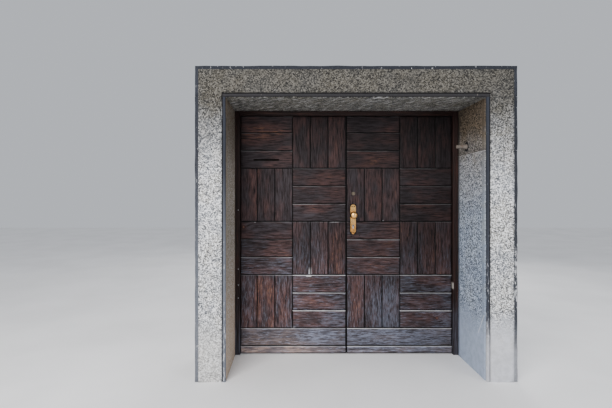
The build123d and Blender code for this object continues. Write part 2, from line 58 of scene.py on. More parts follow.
boardFaceY = lowOf("boards_left_row2_inner").y
leafBackY = highOf("hinge_stile_left").y
stoneFrontY = lowOf("stone_lintel").y
openingTop = highOf("stone_jamb_left").z
frameFrontY = lowOf("frame_head").y
postInner = lowOf("frame_post_right").x
postWidth = 0.040
revealX = postInner + postWidth
boardWidth = 0.151
stoneOuter = highOf("stone_lintel").x
stoneTop = highOf("stone_lintel").z
bedZ = highOf("stone_jamb_right_lower").z
headLow = lowOf("frame_head").z
plateMid = (lowOf("back_plates") + highOf("back_plates")) / 2
plateHalf = (highOf("back_plates") - lowOf("back_plates")) / 2


# Shader maths

class Wire:
    # One output socket. Sums on it add Math nodes.
    def __init__(self, graph, socket):
        self.graph = graph
        self.socket = socket

    def __add__(self, other):
        return self.graph.sum("ADD", self, other)

    def __radd__(self, other):
        return self.graph.sum("ADD", other, self)

    def __sub__(self, other):
        return self.graph.sum("SUBTRACT", self, other)

    def __rsub__(self, other):
        return self.graph.sum("SUBTRACT", other, self)

    def __mul__(self, other):
        return self.graph.sum("MULTIPLY", self, other)

    def __rmul__(self, other):
        return self.graph.sum("MULTIPLY", other, self)


class Graph:
    def __init__(self, material):
        self.tree = material.node_tree

    def add(self, kind, settings=None, sockets=None, out=0):
        node = self.tree.nodes.new(kind)
        for name, value in (settings or {}).items():
            setattr(node, name, value)
        for key, value in (sockets or {}).items():
            if isinstance(value, Wire):
                self.tree.links.new(value.socket, node.inputs[key])
            else:
                node.inputs[key].default_value = value
        return Wire(self, node.outputs[out])

    def sum(self, operation, first, second):
        return self.add("ShaderNodeMath", {"operation": operation}, {0: first, 1: second})

    def least(self, first, second):
        return self.sum("MINIMUM", first, second)

    def most(self, first, second):
        return self.sum("MAXIMUM", first, second)

    def distance(self, value):
        return self.add("ShaderNodeMath", {"operation": "ABSOLUTE"}, {0: value})

    def reach(self, first, second):
        # How far from the middle, for two offsets at right angles
        return self.sum("SQRT", first * first + second * second, 0.0)

    def ramp(self, value, low, high, start=0.0, end=1.0):
        # A smooth step from start to end as value goes from low to high
        sockets = {"Value": value, "From Min": low, "From Max": high, "To Min": start, "To Max": end}
        return self.add("ShaderNodeMapRange", {"interpolation_type": "SMOOTHSTEP"}, sockets)

    def step(self, value, edge, soft=0.001):
        return self.ramp(value, edge - soft, edge + soft)

    def band(self, value, low, high, soft):
        # 1 between low and high, 0 outside, soft at both ends
        rising = self.step(value, low, soft)
        return rising * self.ramp(value, high - soft, high + soft, 1.0, 0.0)

    def mix(self, factor, first, second):
        sockets = {0: factor, 6: first, 7: second}
        return self.add("ShaderNodeMix", {"data_type": "RGBA"}, sockets, out=2)

    def coat(self, colour, look, coats):
        # Lays the coats of a look over a colour, each with its share
        for share, name in coats:
            colour = self.mix(share, colour, look[name])
        return colour

    def shade(self, factor, first, second):
        sockets = {0: factor, 6: first, 7: second}
        return self.add("ShaderNodeMix", {"data_type": "RGBA", "blend_type": "MULTIPLY"}, sockets, out=2)

    def grey(self, value):
        return self.add("ShaderNodeCombineColor", None, {0: value, 1: value, 2: value})

    def place(self):
        return self.add("ShaderNodeTexCoord", out="Object")

    def attribute(self, name, out="Fac"):
        return self.add("ShaderNodeAttribute", {"attribute_name": name}, out=out)

    def apart(self, vector):
        return [self.add("ShaderNodeSeparateXYZ", None, {0: vector}, out=axis) for axis in range(3)]

    def stretch(self, vector, x, y, z):
        sockets = {"Vector": vector, "Scale": (x, y, z)}
        return self.add("ShaderNodeMapping", {"vector_type": "POINT"}, sockets)

    def noise(self, vector, scale, detail=3.0, rough=0.55, warp=0.0):
        sockets = {"Vector": vector, "Scale": scale, "Detail": detail, "Roughness": rough, "Distortion": warp}
        return self.add("ShaderNodeTexNoise", None, sockets)

    def strands(self, vector, x, y, z, detail=3.0, rough=0.6, warp=0.0):
        # Noise with its own scale along each axis
        return self.noise(self.stretch(vector, x, y, z), 1.0, detail, rough, warp)

    def cells(self, vector, scale, out="Distance", feature="F1"):
        return self.add("ShaderNodeTexVoronoi", {"feature": feature}, {"Vector": vector, "Scale": scale}, out)

    def bump(self, height, distance, strength=1.0):
        sockets = {"Height": height, "Distance": distance, "Strength": strength}
        return self.add("ShaderNodeBump", None, sockets)


def newMaterial(name, roughness=0.7, metallic=0.0, **fixed):
    material = bpy.data.materials.new(name)
    material.use_nodes = True
    shader = material.node_tree.nodes["Principled BSDF"]
    shader.inputs["Roughness"].default_value = roughness
    shader.inputs["Metallic"].default_value = metallic
    for key, value in fixed.items():
        shader.inputs[key.replace("_", " ")].default_value = value
    return material, Graph(material)


def connect(material, **sockets):
    shader = material.node_tree.nodes["Principled BSDF"]
    for key, wire in sockets.items():
        material.node_tree.links.new(wire.socket, shader.inputs[key.replace("_", " ")])


def tint(red, green, blue):
    return (red, green, blue, 1.0)


# Stone: a speckled grey granite, with a dark painted roll and outer strip, and a cement repair at the foot

stoneLook = {
    "body": tint(0.335, 0.35, 0.375),
    "warm": tint(0.39, 0.38, 0.35),
    "dark": tint(0.030, 0.034, 0.042),
    "light": tint(0.90, 0.90, 0.91),
    "highShade": tint(0.19, 0.145, 0.10),
    "faceShade": tint(0.158, 0.147, 0.125),
    "soffitShade": tint(0.25, 0.235, 0.19),
    "blueShade": tint(0.66, 0.77, 0.94),
    "streak": tint(0.215, 0.165, 0.105),
    "streakLow": tint(0.42, 0.31, 0.215),
    "rubbed": tint(0.56, 0.545, 0.52),
    "cement": tint(0.56, 0.565, 0.60),
    "paint": tint(0.022, 0.025, 0.034),
    "paintFaded": tint(0.125, 0.138, 0.165),
    "paintWorn": tint(0.50, 0.51, 0.54),
    "lintelRollShade": tint(0.95, 0.80, 0.64),
    "shadowBlack": tint(0.006, 0.006, 0.008),
    "pieceScale": 136.0, "chipScale": 230.0, "grainScale": 420.0, "repairLow": 0.24, "repairHigh": 0.52,
    "rollReach": 0.0305, "rollWidth": 0.022, "marginWidth": 0.0275, "jointHalf": 0.0025,
    "pinY": 0.0085, "pinZ": 1.737, "pinShadowOuter": 0.045, "pinShadowInner": 0.036,
    "crackY": -0.205, "crackZ": 0.33, "crackSlope": -1.7, "crackFoot": 0.31, "crackHead": 0.47,
}


def makeStone():
    look = stoneLook
    material, g = newMaterial("speckledStone", roughness=0.82, Specular_IOR_Level=0.25)
    place = g.place()
    x, y, z = g.apart(place)
    across = g.distance(x)
    broad = g.noise(place, 3.1, 4.0, 0.6)
    patch = g.noise(place, 11.0, 4.0, 0.6, 0.6)
    fine = g.noise(place, look["grainScale"], 2.0, 0.7)
    mottle = g.noise(place, 70.0, 3.0, 0.7)
    crystals = g.stretch(place, 1.0, 0.75, 1.0)
    piece = g.add("ShaderNodeSeparateColor", None, {0: g.cells(crystals, look["pieceScale"], out="Color")})
    chip = g.add("ShaderNodeSeparateColor", None, {0: g.cells(place, look["chipScale"], out="Color")})
    # Where things are on the block
    onLintel = g.ramp(z, openingTop - 0.006, openingTop + 0.002)
    facesIn = g.ramp(y, leafBackY - 0.006, leafBackY - 0.010) * g.ramp(across, revealX + 0.02, revealX + 0.01)
    facesIn = facesIn * g.ramp(z, openingTop + 0.012, openingTop + 0.006)
    inReveal = g.ramp(y, stoneFrontY + 0.0285, stoneFrontY + 0.0305) * facesIn
    soffit = onLintel * inReveal
    onFace = g.ramp(y, stoneFrontY + 0.012, stoneFrontY + 0.008)
    rightSide = g.ramp(x, -0.1, 0.1)
    rightReveal = inReveal * rightSide * (1 - onLintel)
    leftReveal = inReveal * (1 - rightSide) * (1 - onLintel)
    frontBand = g.band(y, stoneFrontY + 0.03, stoneFrontY + 0.078, 0.004)
    backBand = g.band(y, frameFrontY - 0.032, frameFrontY + 0.01, 0.004)
    calm = g.most(frontBand * 0.75, backBand * 0.8) * inReveal * (1 - onLintel)
    # Low down the stone is rubbed, and on the right skimmed with cement, without a sharp border
    ragged = z + (patch - 0.5) * 0.22 + (broad - 0.5) * 0.35
    low = g.ramp(ragged, look["repairHigh"], look["repairLow"])
    repair = low * rightSide
    rubbed = low * (1 - rightSide)
    speckle = (1 - calm) * (1 - repair * 0.82) * (1 - rubbed * 0.4) * g.ramp(broad, 0.25, 0.75, 0.85, 1.0)
    body = g.mix(g.ramp(broad + (patch - 0.5) * 0.4, 0.4, 0.62), look["body"], look["warm"])
    body = g.mix(rubbed * 0.75 * (1 - inReveal), body, look["rubbed"])
    body = g.shade(1.0, body, g.grey(g.ramp(patch, 0.25, 0.75, 0.86, 1.12)))
    body = g.shade(1.0, body, g.grey(g.ramp(fine, 0.3, 0.7, 0.82, 1.16)))
    # The left reveal has brown streaks running down
    runs = g.strands(place, 34.0, 34.0, 1.6, 4.0)
    brown = g.mix(g.ramp(z + (runs - 0.5) * 0.6, 1.1, 0.2), look["streak"], look["streakLow"])
    body = g.mix(leftReveal * g.ramp(runs, 0.34, 0.58, 0.7, 0.95), body, brown)
    # Dark and light crystals
    mixed = piece + (mottle - 0.5) * 0.16
    darkPiece = g.most(g.ramp(mixed, 0.66, 0.71), g.ramp(chip, 0.80, 0.84) * 0.8)
    lightPiece = g.most(g.ramp(mixed, 0.31, 0.26), g.ramp(chip, 0.17, 0.13) * 0.8)
    quiet = speckle * (1 - leftReveal * 0.65)
    body = g.coat(body, look, [(darkPiece * quiet * 0.90, "dark"), (lightPiece * quiet * 0.80, "light")])
    # Painted shade: brown high on the reveals, where the upper right block is also browner of itself, and
    # darker on the upper fronts and under the lintel. A painted blue-grey cast of sky light on the right
    # reveal, and scratches under the lintel
    high = g.ramp(z + (patch - 0.5) * 0.25, 1.36, 1.90)
    high = g.most(high, g.step(z, bedZ, 0.002) * rightSide * 0.8)
    high = g.most(high, g.ramp(z, 1.0, bedZ, 0.0, 0.42) * rightSide)
    body = g.shade(g.most(rightReveal, leftReveal * 0.72) * high, body, look["highShade"])
    body = g.shade(onFace * g.ramp(z + (patch - 0.5) * 0.35, 1.28, 2.12), body, look["faceShade"])
    body = g.shade(soffit, body, look["soffitShade"])
    strokes = g.add("ShaderNodeCombineXYZ", None, {0: (x - y) * 8.0, 1: (x + y) * 52.0})
    scratch = g.noise(strokes, 1.0, 3.0, 0.6, 0.8)
    body = g.coat(body, look, [
        (soffit * g.ramp(scratch, 0.54, 0.66) * 0.5, "light"),
        (soffit * g.ramp(scratch, 0.46, 0.36) * 0.8, "dark"),
    ])
    skim = g.noise(place, 22.0, 5.0, 0.6)
    cement = g.shade(1.0, look["cement"], g.grey(g.ramp(skim, 0.3, 0.7, 0.86, 1.1)))
    body = g.mix(repair * 0.8, body, cement)
    body = g.shade(rightReveal * (1 - high) * g.ramp(z, 1.65, 1.15, 0.35, 1.0), body, look["blueShade"])
    # A pale diagonal crack low on the right reveal
    crackLine = (z - look["crackZ"]) - (y - look["crackY"]) * look["crackSlope"] + (mottle - 0.5) * 0.012
    crack = g.ramp(g.distance(crackLine), 0.007, 0.003) * rightReveal
    crack = crack * g.band(z, look["crackFoot"], look["crackHead"], 0.01)
    # The bed joint shows as a pale line on the front half of the right reveal
    joint = g.band(z, bedZ - look["jointHalf"], bedZ + look["jointHalf"], 0.002)
    jointShare = g.ramp(y, frameFrontY - 0.2, frameFrontY - 0.3, 0.08, 0.26) * rightReveal
    # Painted shadow: a black ring round the pin where it enters the stone
    ring = g.reach(y - look["pinY"], z - look["pinZ"])
    pinShadow = g.ramp(ring + (mottle - 0.5) * 0.01, look["pinShadowOuter"], look["pinShadowInner"]) * rightReveal
    body = g.coat(body, look, [
        (crack * 0.6, "light"), (joint * jointShare, "light"), (pinShadow * 0.95, "shadowBlack"),
    ])
    # Dark roll between two black grooves at the arris, the black partly paint and partly painted shade in the
    # grooves, and a dark outer strip
    roll = look["rollReach"]
    beside = g.ramp(across, revealX + roll, revealX + roll - 0.002)
    sideArris = beside * g.ramp(z, openingTop + 0.031, openingTop + 0.029)
    topArris = onLintel * g.ramp(z, openingTop + roll, openingTop + roll - 0.002) * beside
    atFront = g.ramp(y, stoneFrontY + roll, stoneFrontY + roll - 0.002)
    arris = g.most(sideArris, topArris) * atFront
    crown = look["rollWidth"]
    grooveSide = g.step(across, revealX + crown) * (1 - onLintel)
    grooveTop = g.step(z, openingTop + crown) * onLintel
    groove = g.most(g.most(grooveSide, grooveTop), g.step(y, stoneFrontY + crown))
    margin = look["marginWidth"]
    outer = g.most(g.step(across, stoneOuter - margin), g.step(z, stoneTop - margin)) * onFace
    wornPlace = g.strands(place, 75.0, 75.0, 22.0, 4.0, 0.7)
    wornRoll = g.ramp(wornPlace + g.ramp(z, 1.4, 0.3) * 0.14, 0.66, 0.78)
    wornOuter = g.ramp(wornPlace + g.band(z, 0.5, 1.15, 0.2) * 0.10 * rightSide, 0.63, 0.71)
    fading = g.ramp(z + (runs - 0.5) * 0.8, 1.7, 0.5) * g.ramp(rightSide, 0.0, 1.0, 0.95, 0.10)
    faded = g.mix(fading, look["paint"], look["paintFaded"])
    grooveShare = g.most(g.ramp(z, 0.18, 0.45, 0.35, 0.93), (1 - rightSide) * 0.8)
    rollPaint = g.coat(faded, look, [
        (wornRoll * 0.7, "paintWorn"), (g.ramp(z, 0.5, 0.2) * 0.7 * rightSide, "cement"),
        (groove * grooveShare, "shadowBlack"),
    ])
    outerPaint = g.mix(wornOuter * 0.8, faded, look["light"])
    # Painted shade darkens the roll under the lintel
    rollPaint = g.shade(onLintel, rollPaint, look["lintelRollShade"])
    body = g.mix(arris, body, rollPaint)
    outerShare = g.most(g.ramp(ragged, 0.2, 0.42, 0.35, 0.96), (1 - rightSide) * 0.92)
    body = g.mix(outer * outerShare, body, outerPaint)
    height = fine * 0.35 + g.ramp(piece, 0.2, 0.8, 0.0, 0.9) * speckle + mottle * 0.8
    connect(material, Base_Color=body, Normal=g.bump(height, 0.0020, 0.7))
    connect(material, Roughness=g.ramp(fine, 0.2, 0.8, 0.72, 0.95))
    return material


# Boards: dark oak, grey and blue where the weather reaches, orange-brown along the grain

boardLook = {
    "deep": tint(0.0125, 0.0080, 0.0088),
    "brown": tint(0.043, 0.0325, 0.0350),
    "red": tint(0.089, 0.041, 0.036),
    "orange": tint(0.21, 0.094, 0.051),
    "grey": tint(0.076, 0.074, 0.092),
    "blue": tint(0.136, 0.158, 0.215),
    "pale": tint(0.55, 0.54, 0.55),
    "dirtAndShade": tint(0.0016, 0.0014, 0.0016),
    "dirtWidth": 0.0049, "wearAndHighlightLow": 0.0026, "wearAndHighlightHigh": 0.0074, "toneLow": 0.86, "toneHigh": 1.14,
    "weatherTop": 1.9, "weatherFoot": 0.2, "silver": 0.55, "frost": 0.50, "gapHalf": 0.0085,
    "plateShadowReach": 0.008, "ripple": 0.014,
}

footLook = dict(
    boardLook,
    deep=tint(0.033, 0.030, 0.036),
    brown=tint(0.082, 0.072, 0.078),
    red=tint(0.140, 0.098, 0.082),
    orange=tint(0.28, 0.195, 0.150),
    grey=tint(0.110, 0.113, 0.145),
    blue=tint(0.24, 0.27, 0.37),
    pale=tint(0.58, 0.57, 0.58),
    weatherTop=3.5,
    weatherFoot=0.9,
)

# Where the boards have kept their red-brown, and where they have gone blue-grey:
# across, up, half width, half height, strength
warmPlaces = [
    (-0.65, 1.88, 0.24, 0.16, 1.0), (-0.09, 1.83, 0.08, 0.24, 0.8), (0.24, 1.66, 0.24, 0.08, 0.8),
    (-0.78, 1.36, 0.12, 0.24, 0.9), (0.24, 1.36, 0.08, 0.22, 0.7), (0.66, 1.50, 0.24, 0.08, 0.7),
    (-0.22, 1.20, 0.24, 0.08, 0.5), (-0.68, 0.90, 0.24, 0.08, 0.7), (-0.09, 0.81, 0.08, 0.24, 0.9),
    (0.24, 0.90, 0.24, 0.08, 1.1), (0.76, 0.82, 0.11, 0.24, 0.6), (-0.745, 0.44, 0.04, 0.24, 1.5),
    (-0.64, 0.42, 0.06, 0.24, 1.4), (-0.26, 0.59, 0.22, 0.07, 1.1), (-0.26, 0.44, 0.22, 0.07, 1.1),
    (-0.32, 0.30, 0.20, 0.08, 1.0), (0.08, 0.44, 0.06, 0.24, 1.2), (0.75, 0.63, 0.20, 0.06, 1.1),
    (0.60, 0.29, 0.16, 0.07, 1.1), (-0.68, 0.15, 0.34, 0.09, 0.8), (-0.60, 0.04, 0.60, 0.06, 1.3),
    (0.086, 1.31, 0.03, 0.03, 1.6), (-0.52, 0.44, 0.07, 0.24, 1.1), (-0.68, 0.76, 0.24, 0.08, 1.0),
    (0.24, 0.76, 0.24, 0.08, 0.7), (0.72, 0.45, 0.22, 0.07, 0.6),
]
coldPlaces = [
    (0.32, 0.36, 0.16, 0.24, 1.0), (-0.10, 0.30, 0.16, 0.08, 0.9), (0.45, 0.14, 0.60, 0.10, 1.0),
    (-0.20, 0.14, 0.24, 0.10, 0.7), (0.52, 0.82, 0.09, 0.24, 0.6), (0.08, 1.36, 0.08, 0.24, 0.5),
    (0.40, 1.36, 0.08, 0.24, 0.5), (0.86, 0.40, 0.08, 0.30, 0.6), (-0.66, 1.66, 0.24, 0.07, 0.9),
]

# Upper edges in the third row where the pale line of wear and painted highlight stays faint
thirdRowTop = highOf("boards_right_row3_inner").z
darkEdges = [
    (0.23, thirdRowTop, 0.30, 0.03, 1.2), (-0.67, thirdRowTop, 0.30, 0.03, 0.6),
    (-0.67, thirdRowTop - boardWidth, 0.30, 0.03, 0.8),
    (-0.67, thirdRowTop - 2 * boardWidth, 0.30, 0.03, 0.6),
]

# Marks in the boards: across and up, then a radius, or half a width and half a height
knots = [(-0.873, 1.078, 0.022), (0.772, 0.305, 0.016)]
oldHoles = [(0.0432, 0.999, 0.0042), (0.1129, 1.0058, 0.0042)]
paleMarks = [
    (-0.308, 0.695, 0.015, 0.050), (-0.318, 0.665, 0.030, 0.014), (-0.452, 0.2205, 0.022, 0.010),
    (0.312, 1.130, 0.007, 0.010), (-0.775, 1.120, 0.010, 0.007), (-0.10, 1.120, 0.05, 0.005),
]


def makeBoardWood(name, look):
    material, g = newMaterial(name, roughness=0.62, Specular_IOR_Level=0.13)
    grain = g.attribute("grain", "Vector")
    x, _, z = g.apart(g.place())
    bend = g.strands(grain, 2.2, 6.0, 1.0, 2.0, 0.5)
    ripple = (bend - 0.5) * look["ripple"]
    rings = None
    for knotX, knotZ, radius in knots:
        away = g.reach(x - knotX, z - knotZ)
        ripple = ripple + g.ramp(away, radius * 4.5, 0.0) * radius * 1.1
        rings = away * (1 / radius) if rings is None else g.least(rings, away * (1 / radius))
    bentGrain = g.add("ShaderNodeVectorMath", {"operation": "ADD"}, {
        0: grain, 1: g.add("ShaderNodeCombineXYZ", None, {1: ripple}),
    })
    fibre = g.strands(bentGrain, 16.0, 520.0, 1.0)
    dash = g.strands(bentGrain, 13.0, 190.0, 1.0)
    figure = g.strands(bentGrain, 7.5, 104.0, 1.0, 4.0, 0.68)
    fleck = g.strands(bentGrain, 24.0, 150.0, 1.0, rough=0.7)
    cloud = g.strands(grain, 3.4, 8.0, 1.0, 4.0)
    spread = g.strands(grain, 5.5, 13.0, 1.0)
    warm = g.attribute("warm")
    cold = g.attribute("cold")
    lines = figure * 0.55 + dash * 0.45
    colour = g.mix(g.ramp(lines, 0.36, 0.62), look["deep"], look["brown"])
    warmth = cloud + warm * 0.13
    reddish = g.ramp(warmth, 0.42, 0.64) * g.ramp(lines, 0.40, 0.58)
    glow = g.ramp(figure * 0.5 + fleck * 0.5 + warm * 0.02, 0.52, 0.62) * g.ramp(warmth, 0.58, 0.72)
    # Grey weathering grows towards the foot
    weather = g.ramp(z + (cloud - 0.5) * 0.5, look["weatherTop"], look["weatherFoot"], 0.15, 1.0)
    silver = g.ramp(lines + cold * 0.07 - warm * 0.04, 0.47, 0.60) * weather
    frost = g.ramp(fleck * 0.6 + dash * 0.4 + cold * 0.055 - warm * 0.03, 0.50, 0.64)
    frost = frost * g.ramp(weather, 0.45, 0.95)
    # Splits and pores are dark lines along the grain
    split = g.strands(bentGrain, 2.4, 60.0, 1.0, 2.0, 0.4)
    crack = g.ramp(g.distance(split - 0.5), 0.006, 0.0) * g.ramp(spread, 0.50, 0.58)
    pores = g.most(g.ramp(fibre, 0.38, 0.28) * 0.6, g.ramp(dash, 0.38, 0.30) * 0.5)
    coats = [
        (reddish * 0.85, "red"), (glow * 0.6, "orange"),
        (silver * look["silver"], "grey"), (frost * look["frost"], "blue"),
        (g.most(crack * 0.85, pores), "dirtAndShade"),
    ]
    # Knots, old screw holes and pale marks
    coats += [
        (g.ramp(rings + (dash - 0.5) * 1.2, 1.5, 0.6) * 0.55, "red"),
        (g.band(rings + (dash - 0.5) * 0.8, 0.5, 0.8, 0.2) * 0.7, "dirtAndShade"),
        (g.ramp(rings + (dash - 0.5) * 0.4, 0.45, 0.2) * 0.5, "orange"),
    ]
    for holeX, holeZ, radius in oldHoles:
        away = g.reach(x - holeX, z - holeZ)
        coats.append((g.ramp(away, radius * 1.15, radius * 0.8) * 0.95, "dirtAndShade"))
    for markX, markZ, halfWidth, halfHeight in paleMarks:
        mark = g.ramp(g.distance(x - markX), halfWidth, halfWidth * 0.3)
        mark = mark * g.ramp(g.distance(z - markZ), halfHeight, halfHeight * 0.3)
        coats.append((mark * g.ramp(dash, 0.38, 0.55, 0.3, 0.85), "pale"))
    # Board edges: black dirt in the joints, and a pale line just below each upper edge, partly wear and
    # partly a painted highlight where light catches the edge
    sides = g.least(g.attribute("sideLow"), g.attribute("sideHigh"))
    ends = g.least(g.attribute("endLow"), g.attribute("endHigh"))
    nearest = g.least(sides, ends) + (cloud - 0.5) * 0.0016
    upper = g.attribute("upperEdge") + (fibre - 0.5) * 0.002 + (figure - 0.5) * 0.004
    wear = g.band(upper, look["wearAndHighlightLow"], look["wearAndHighlightHigh"], 0.0012)
    patchy = g.ramp(spread * 0.6 + figure * 0.4, 0.42, 0.54, g.ramp(z, 1.1, 0.6, 0.1, 0.7), 1.0)
    wear = wear * patchy * g.ramp(z, 1.45, 0.7, 0.2, 1.0)
    joint = g.ramp(nearest, look["dirtWidth"], look["dirtWidth"] - 0.0014)
    # Painted shade: black down the meeting edge between the leaves, where the gap lies in shade
    meeting = g.ramp(g.distance(x), look["gapHalf"], 0.006)
    # Painted shadow round the lock plate
    offPlate = g.most(g.distance(x - plateMid.x) - plateHalf.x, g.distance(z - plateMid.z) - plateHalf.z)
    plateShadow = g.ramp(offPlate + (cloud - 0.5) * 0.006, look["plateShadowReach"], 0.0)
    coats += [
        (joint * 0.97, "dirtAndShade"), (wear * g.ramp(g.attribute("lift"), 0.0, 1.0), "pale"),
        (meeting * 0.95, "dirtAndShade"), (plateShadow * 0.85, "dirtAndShade"),
    ]
    colour = g.coat(colour, look, coats)
    # Each board has its own tone. Over it, painted shade darkens the leaves to the right, at the far left and
    # upwards, and painted light brightens them towards the foot
    tone = g.ramp(g.attribute("tone"), 0.0, 1.0, look["toneLow"], look["toneHigh"])
    tone = tone * g.ramp(x, 0.44, 0.47, 1.0, 0.82) * g.ramp(x, -0.84, -0.88, 1.0, 0.85)
    tone = tone * g.ramp(x, -0.5, 0.15, 1.06, 0.68) * g.ramp(z, 1.8, 1.4, 0.72, 1.0)
    tone = tone * g.ramp(z, 1.05, 0.35, 0.76, 1.46) * g.ramp(z, 0.075, 0.065, 1.0, 1.3)
    colour = g.shade(1.0, colour, g.grey(tone))
    height = dash * 0.8 + fibre * 0.4 + figure * 0.5 - crack * 0.9
    connect(material, Base_Color=colour, Normal=g.bump(height, 0.0022, 0.7))
    connect(material, Roughness=g.ramp(dash, 0.3, 0.7, 0.78, 0.56))
    return material


frameLook = {
    "deep": tint(0.0075, 0.0055, 0.0055),
    "brown": tint(0.026, 0.013, 0.011),
    "red": tint(0.060, 0.022, 0.015),
    "faded": tint(0.085, 0.095, 0.125),
    "pale": tint(0.36, 0.33, 0.30),
    "chipX": 0.896,
    "chipZ": 0.583,
}


def makeFrameWood():
    look = frameLook
    material, g = newMaterial("frameWood", roughness=0.55, Specular_IOR_Level=0.16)
    place = g.place()
    x, _, z = g.apart(place)
    upright = g.strands(place, 150.0, 150.0, 3.5, 4.0)
    level = g.strands(place, 3.5, 150.0, 150.0, 4.0)
    isHead = g.step(z, headLow) * g.ramp(g.distance(x), postInner, postInner - 0.001)
    grain = upright * (1 - isHead) + level * isHead
    cloud = g.noise(place, 9.0, 4.0, 0.6)
    colour = g.mix(g.ramp(grain, 0.32, 0.66), look["deep"], look["brown"])
    warm = g.ramp(grain * 0.6 + cloud * 0.4, 0.54, 0.66)
    low = g.ramp(z + (cloud - 0.5) * 0.5, 0.55, 0.1) * g.ramp(grain, 0.4, 0.65)
    scuff = g.ramp(g.noise(place, 46.0, 3.0, 0.7), 0.71, 0.76)
    chip = g.ramp(g.distance(x - look["chipX"]), 0.009, 0.004)
    chip = chip * g.ramp(g.distance(z - look["chipZ"]), 0.034, 0.018)
    scuff = g.most(scuff, chip * 1.8)
    colour = g.coat(colour, look, [(warm * 0.6, "red"), (low * 0.8, "faded"), (scuff * 0.5, "pale")])
    connect(material, Base_Color=colour, Normal=g.bump(grain, 0.0014, 0.6))
    connect(material, Roughness=g.ramp(grain, 0.3, 0.7, 0.66, 0.46))
    return material


innerLook = {
    "deep": tint(0.040, 0.023, 0.014),
    "brown": tint(0.105, 0.062, 0.036),
    "light": tint(0.19, 0.125, 0.078),
}


def makeInnerWood(name, lying):
    look = innerLook
    material, g = newMaterial(name, roughness=0.58, Specular_IOR_Level=0.3)
    place = g.place()
    # The grain runs up, or across in a piece that lies
    turn = -1 if lying else 1
    strand = g.strands(place, *(90.0, 90.0, 2.6)[::turn], 4.0, warp=0.35)
    fibre = g.strands(place, *(380.0, 380.0, 8.0)[::turn])
    cloud = g.noise(place, 5.0, 4.0, 0.6)
    colour = g.coat(look["deep"], look, [
        (g.ramp(strand, 0.3, 0.7), "brown"), (g.ramp(strand * 0.5 + cloud * 0.5, 0.5, 0.68) * 0.7, "light"),
        (g.ramp(fibre, 0.36, 0.28) * 0.6, "deep"),
    ])
    connect(material, Base_Color=colour, Normal=g.bump(strand * 0.6 + fibre * 0.4, 0.0012, 0.5))
    connect(material, Roughness=g.ramp(cloud, 0.3, 0.7, 0.66, 0.5))
    return material


# Metals: one recipe, worn and stained by its own numbers

metalLooks = {
    "brass": {
        "base": tint(0.80, 0.47, 0.17), "stain": tint(0.52, 0.22, 0.05), "wear": tint(1.0, 0.88, 0.66),
        "metallic": 1.0, "smooth": 0.2, "dull": 0.4, "stainShare": 0.8, "pits": 0.00012, "lowStain": 0.85,
    },
    "dullBrass": {
        "base": tint(0.12, 0.098, 0.074), "stain": tint(0.045, 0.035, 0.026), "wear": tint(0.30, 0.26, 0.20),
        "metallic": 0.9, "smooth": 0.42, "dull": 0.62, "stainShare": 0.6, "pits": 0.0003,
    },
    "steel": {
        "base": tint(0.42, 0.44, 0.47), "stain": tint(0.16, 0.15, 0.14), "wear": tint(0.66, 0.68, 0.70),
        "metallic": 1.0, "smooth": 0.28, "dull": 0.5, "stainShare": 0.4, "pits": 0.0001,
    },
    "darkIron": {
        "base": tint(0.055, 0.055, 0.060), "stain": tint(0.085, 0.042, 0.024), "wear": tint(0.22, 0.22, 0.23),
        "metallic": 0.85, "smooth": 0.42, "dull": 0.66, "stainShare": 0.45, "pits": 0.0004,
    },
    "tarnish": {
        "base": tint(0.012, 0.010, 0.009), "stain": tint(0.022, 0.014, 0.009),
        "wear": tint(0.06, 0.045, 0.03),
        "metallic": 0.6, "smooth": 0.55, "dull": 0.8, "stainShare": 0.5, "pits": 0.0003,
    },
    "rustyIron": {
        "base": tint(0.17, 0.145, 0.125), "stain": tint(0.16, 0.095, 0.060), "wear": tint(0.42, 0.39, 0.36),
        "metallic": 0.35, "smooth": 0.66, "dull": 0.9, "stainShare": 0.65, "pits": 0.0012,
    },
}


def makeMetal(name):
    look = metalLooks[name]
    material, g = newMaterial(name + "Finish", metallic=look["metallic"])
    place = g.place()
    cloud = g.noise(place, 60.0, 4.0, 0.65)
    scratch = g.strands(place, 900.0, 900.0, 90.0, 2.0)
    pits = g.noise(place, 700.0, 2.0, 0.6)
    stain = g.ramp(cloud, 0.62 - look["stainShare"] * 0.2, 0.70)
    if "lowStain" in look:
        # Amber low on the plates
        height = g.apart(place)[2] + (cloud - 0.5) * 0.05
        stain = g.most(stain, g.ramp(height, plateMid.z - 0.01, plateMid.z - 0.07, 0.0, look["lowStain"]))
    colour = g.mix(stain * 0.85, look["base"], look["stain"])
    colour = g.mix(g.ramp(scratch, 0.60, 0.70) * g.ramp(cloud, 0.5, 0.36) * 0.6, colour, look["wear"])
    rough = g.ramp(cloud + (scratch - 0.5) * 0.25, 0.35, 0.65, look["smooth"], look["dull"])
    connect(material, Base_Color=colour, Roughness=rough)
    connect(material, Normal=g.bump(pits * 0.6 + cloud, look["pits"], 0.6))
    return material


def makeGapShadeFelt():
    material, g = newMaterial("gapShadeFelt", roughness=0.95, Specular_IOR_Level=0.1)
    hair = g.strands(g.place(), 900.0, 900.0, 300.0, rough=0.7)
    colour = g.mix(g.ramp(hair, 0.3, 0.7), tint(0.003, 0.003, 0.004), tint(0.014, 0.012, 0.012))
    connect(material, Base_Color=colour, Normal=g.bump(hair, 0.0006, 0.8))
    return material


print("materials")
stone = makeStone()
leafWood = makeBoardWood("weatheredBoards", boardLook)
footWood = makeBoardWood("footBoards", footLook)
frameWood = makeFrameWood()
uprightWood = makeInnerWood("innerUpright", lying=False)
lyingWood = makeInnerWood("innerLying", lying=True)
metals = {name: makeMetal(name) for name in metalLooks}
gapShadeFelt = makeGapShadeFelt()


# Mesh helpers

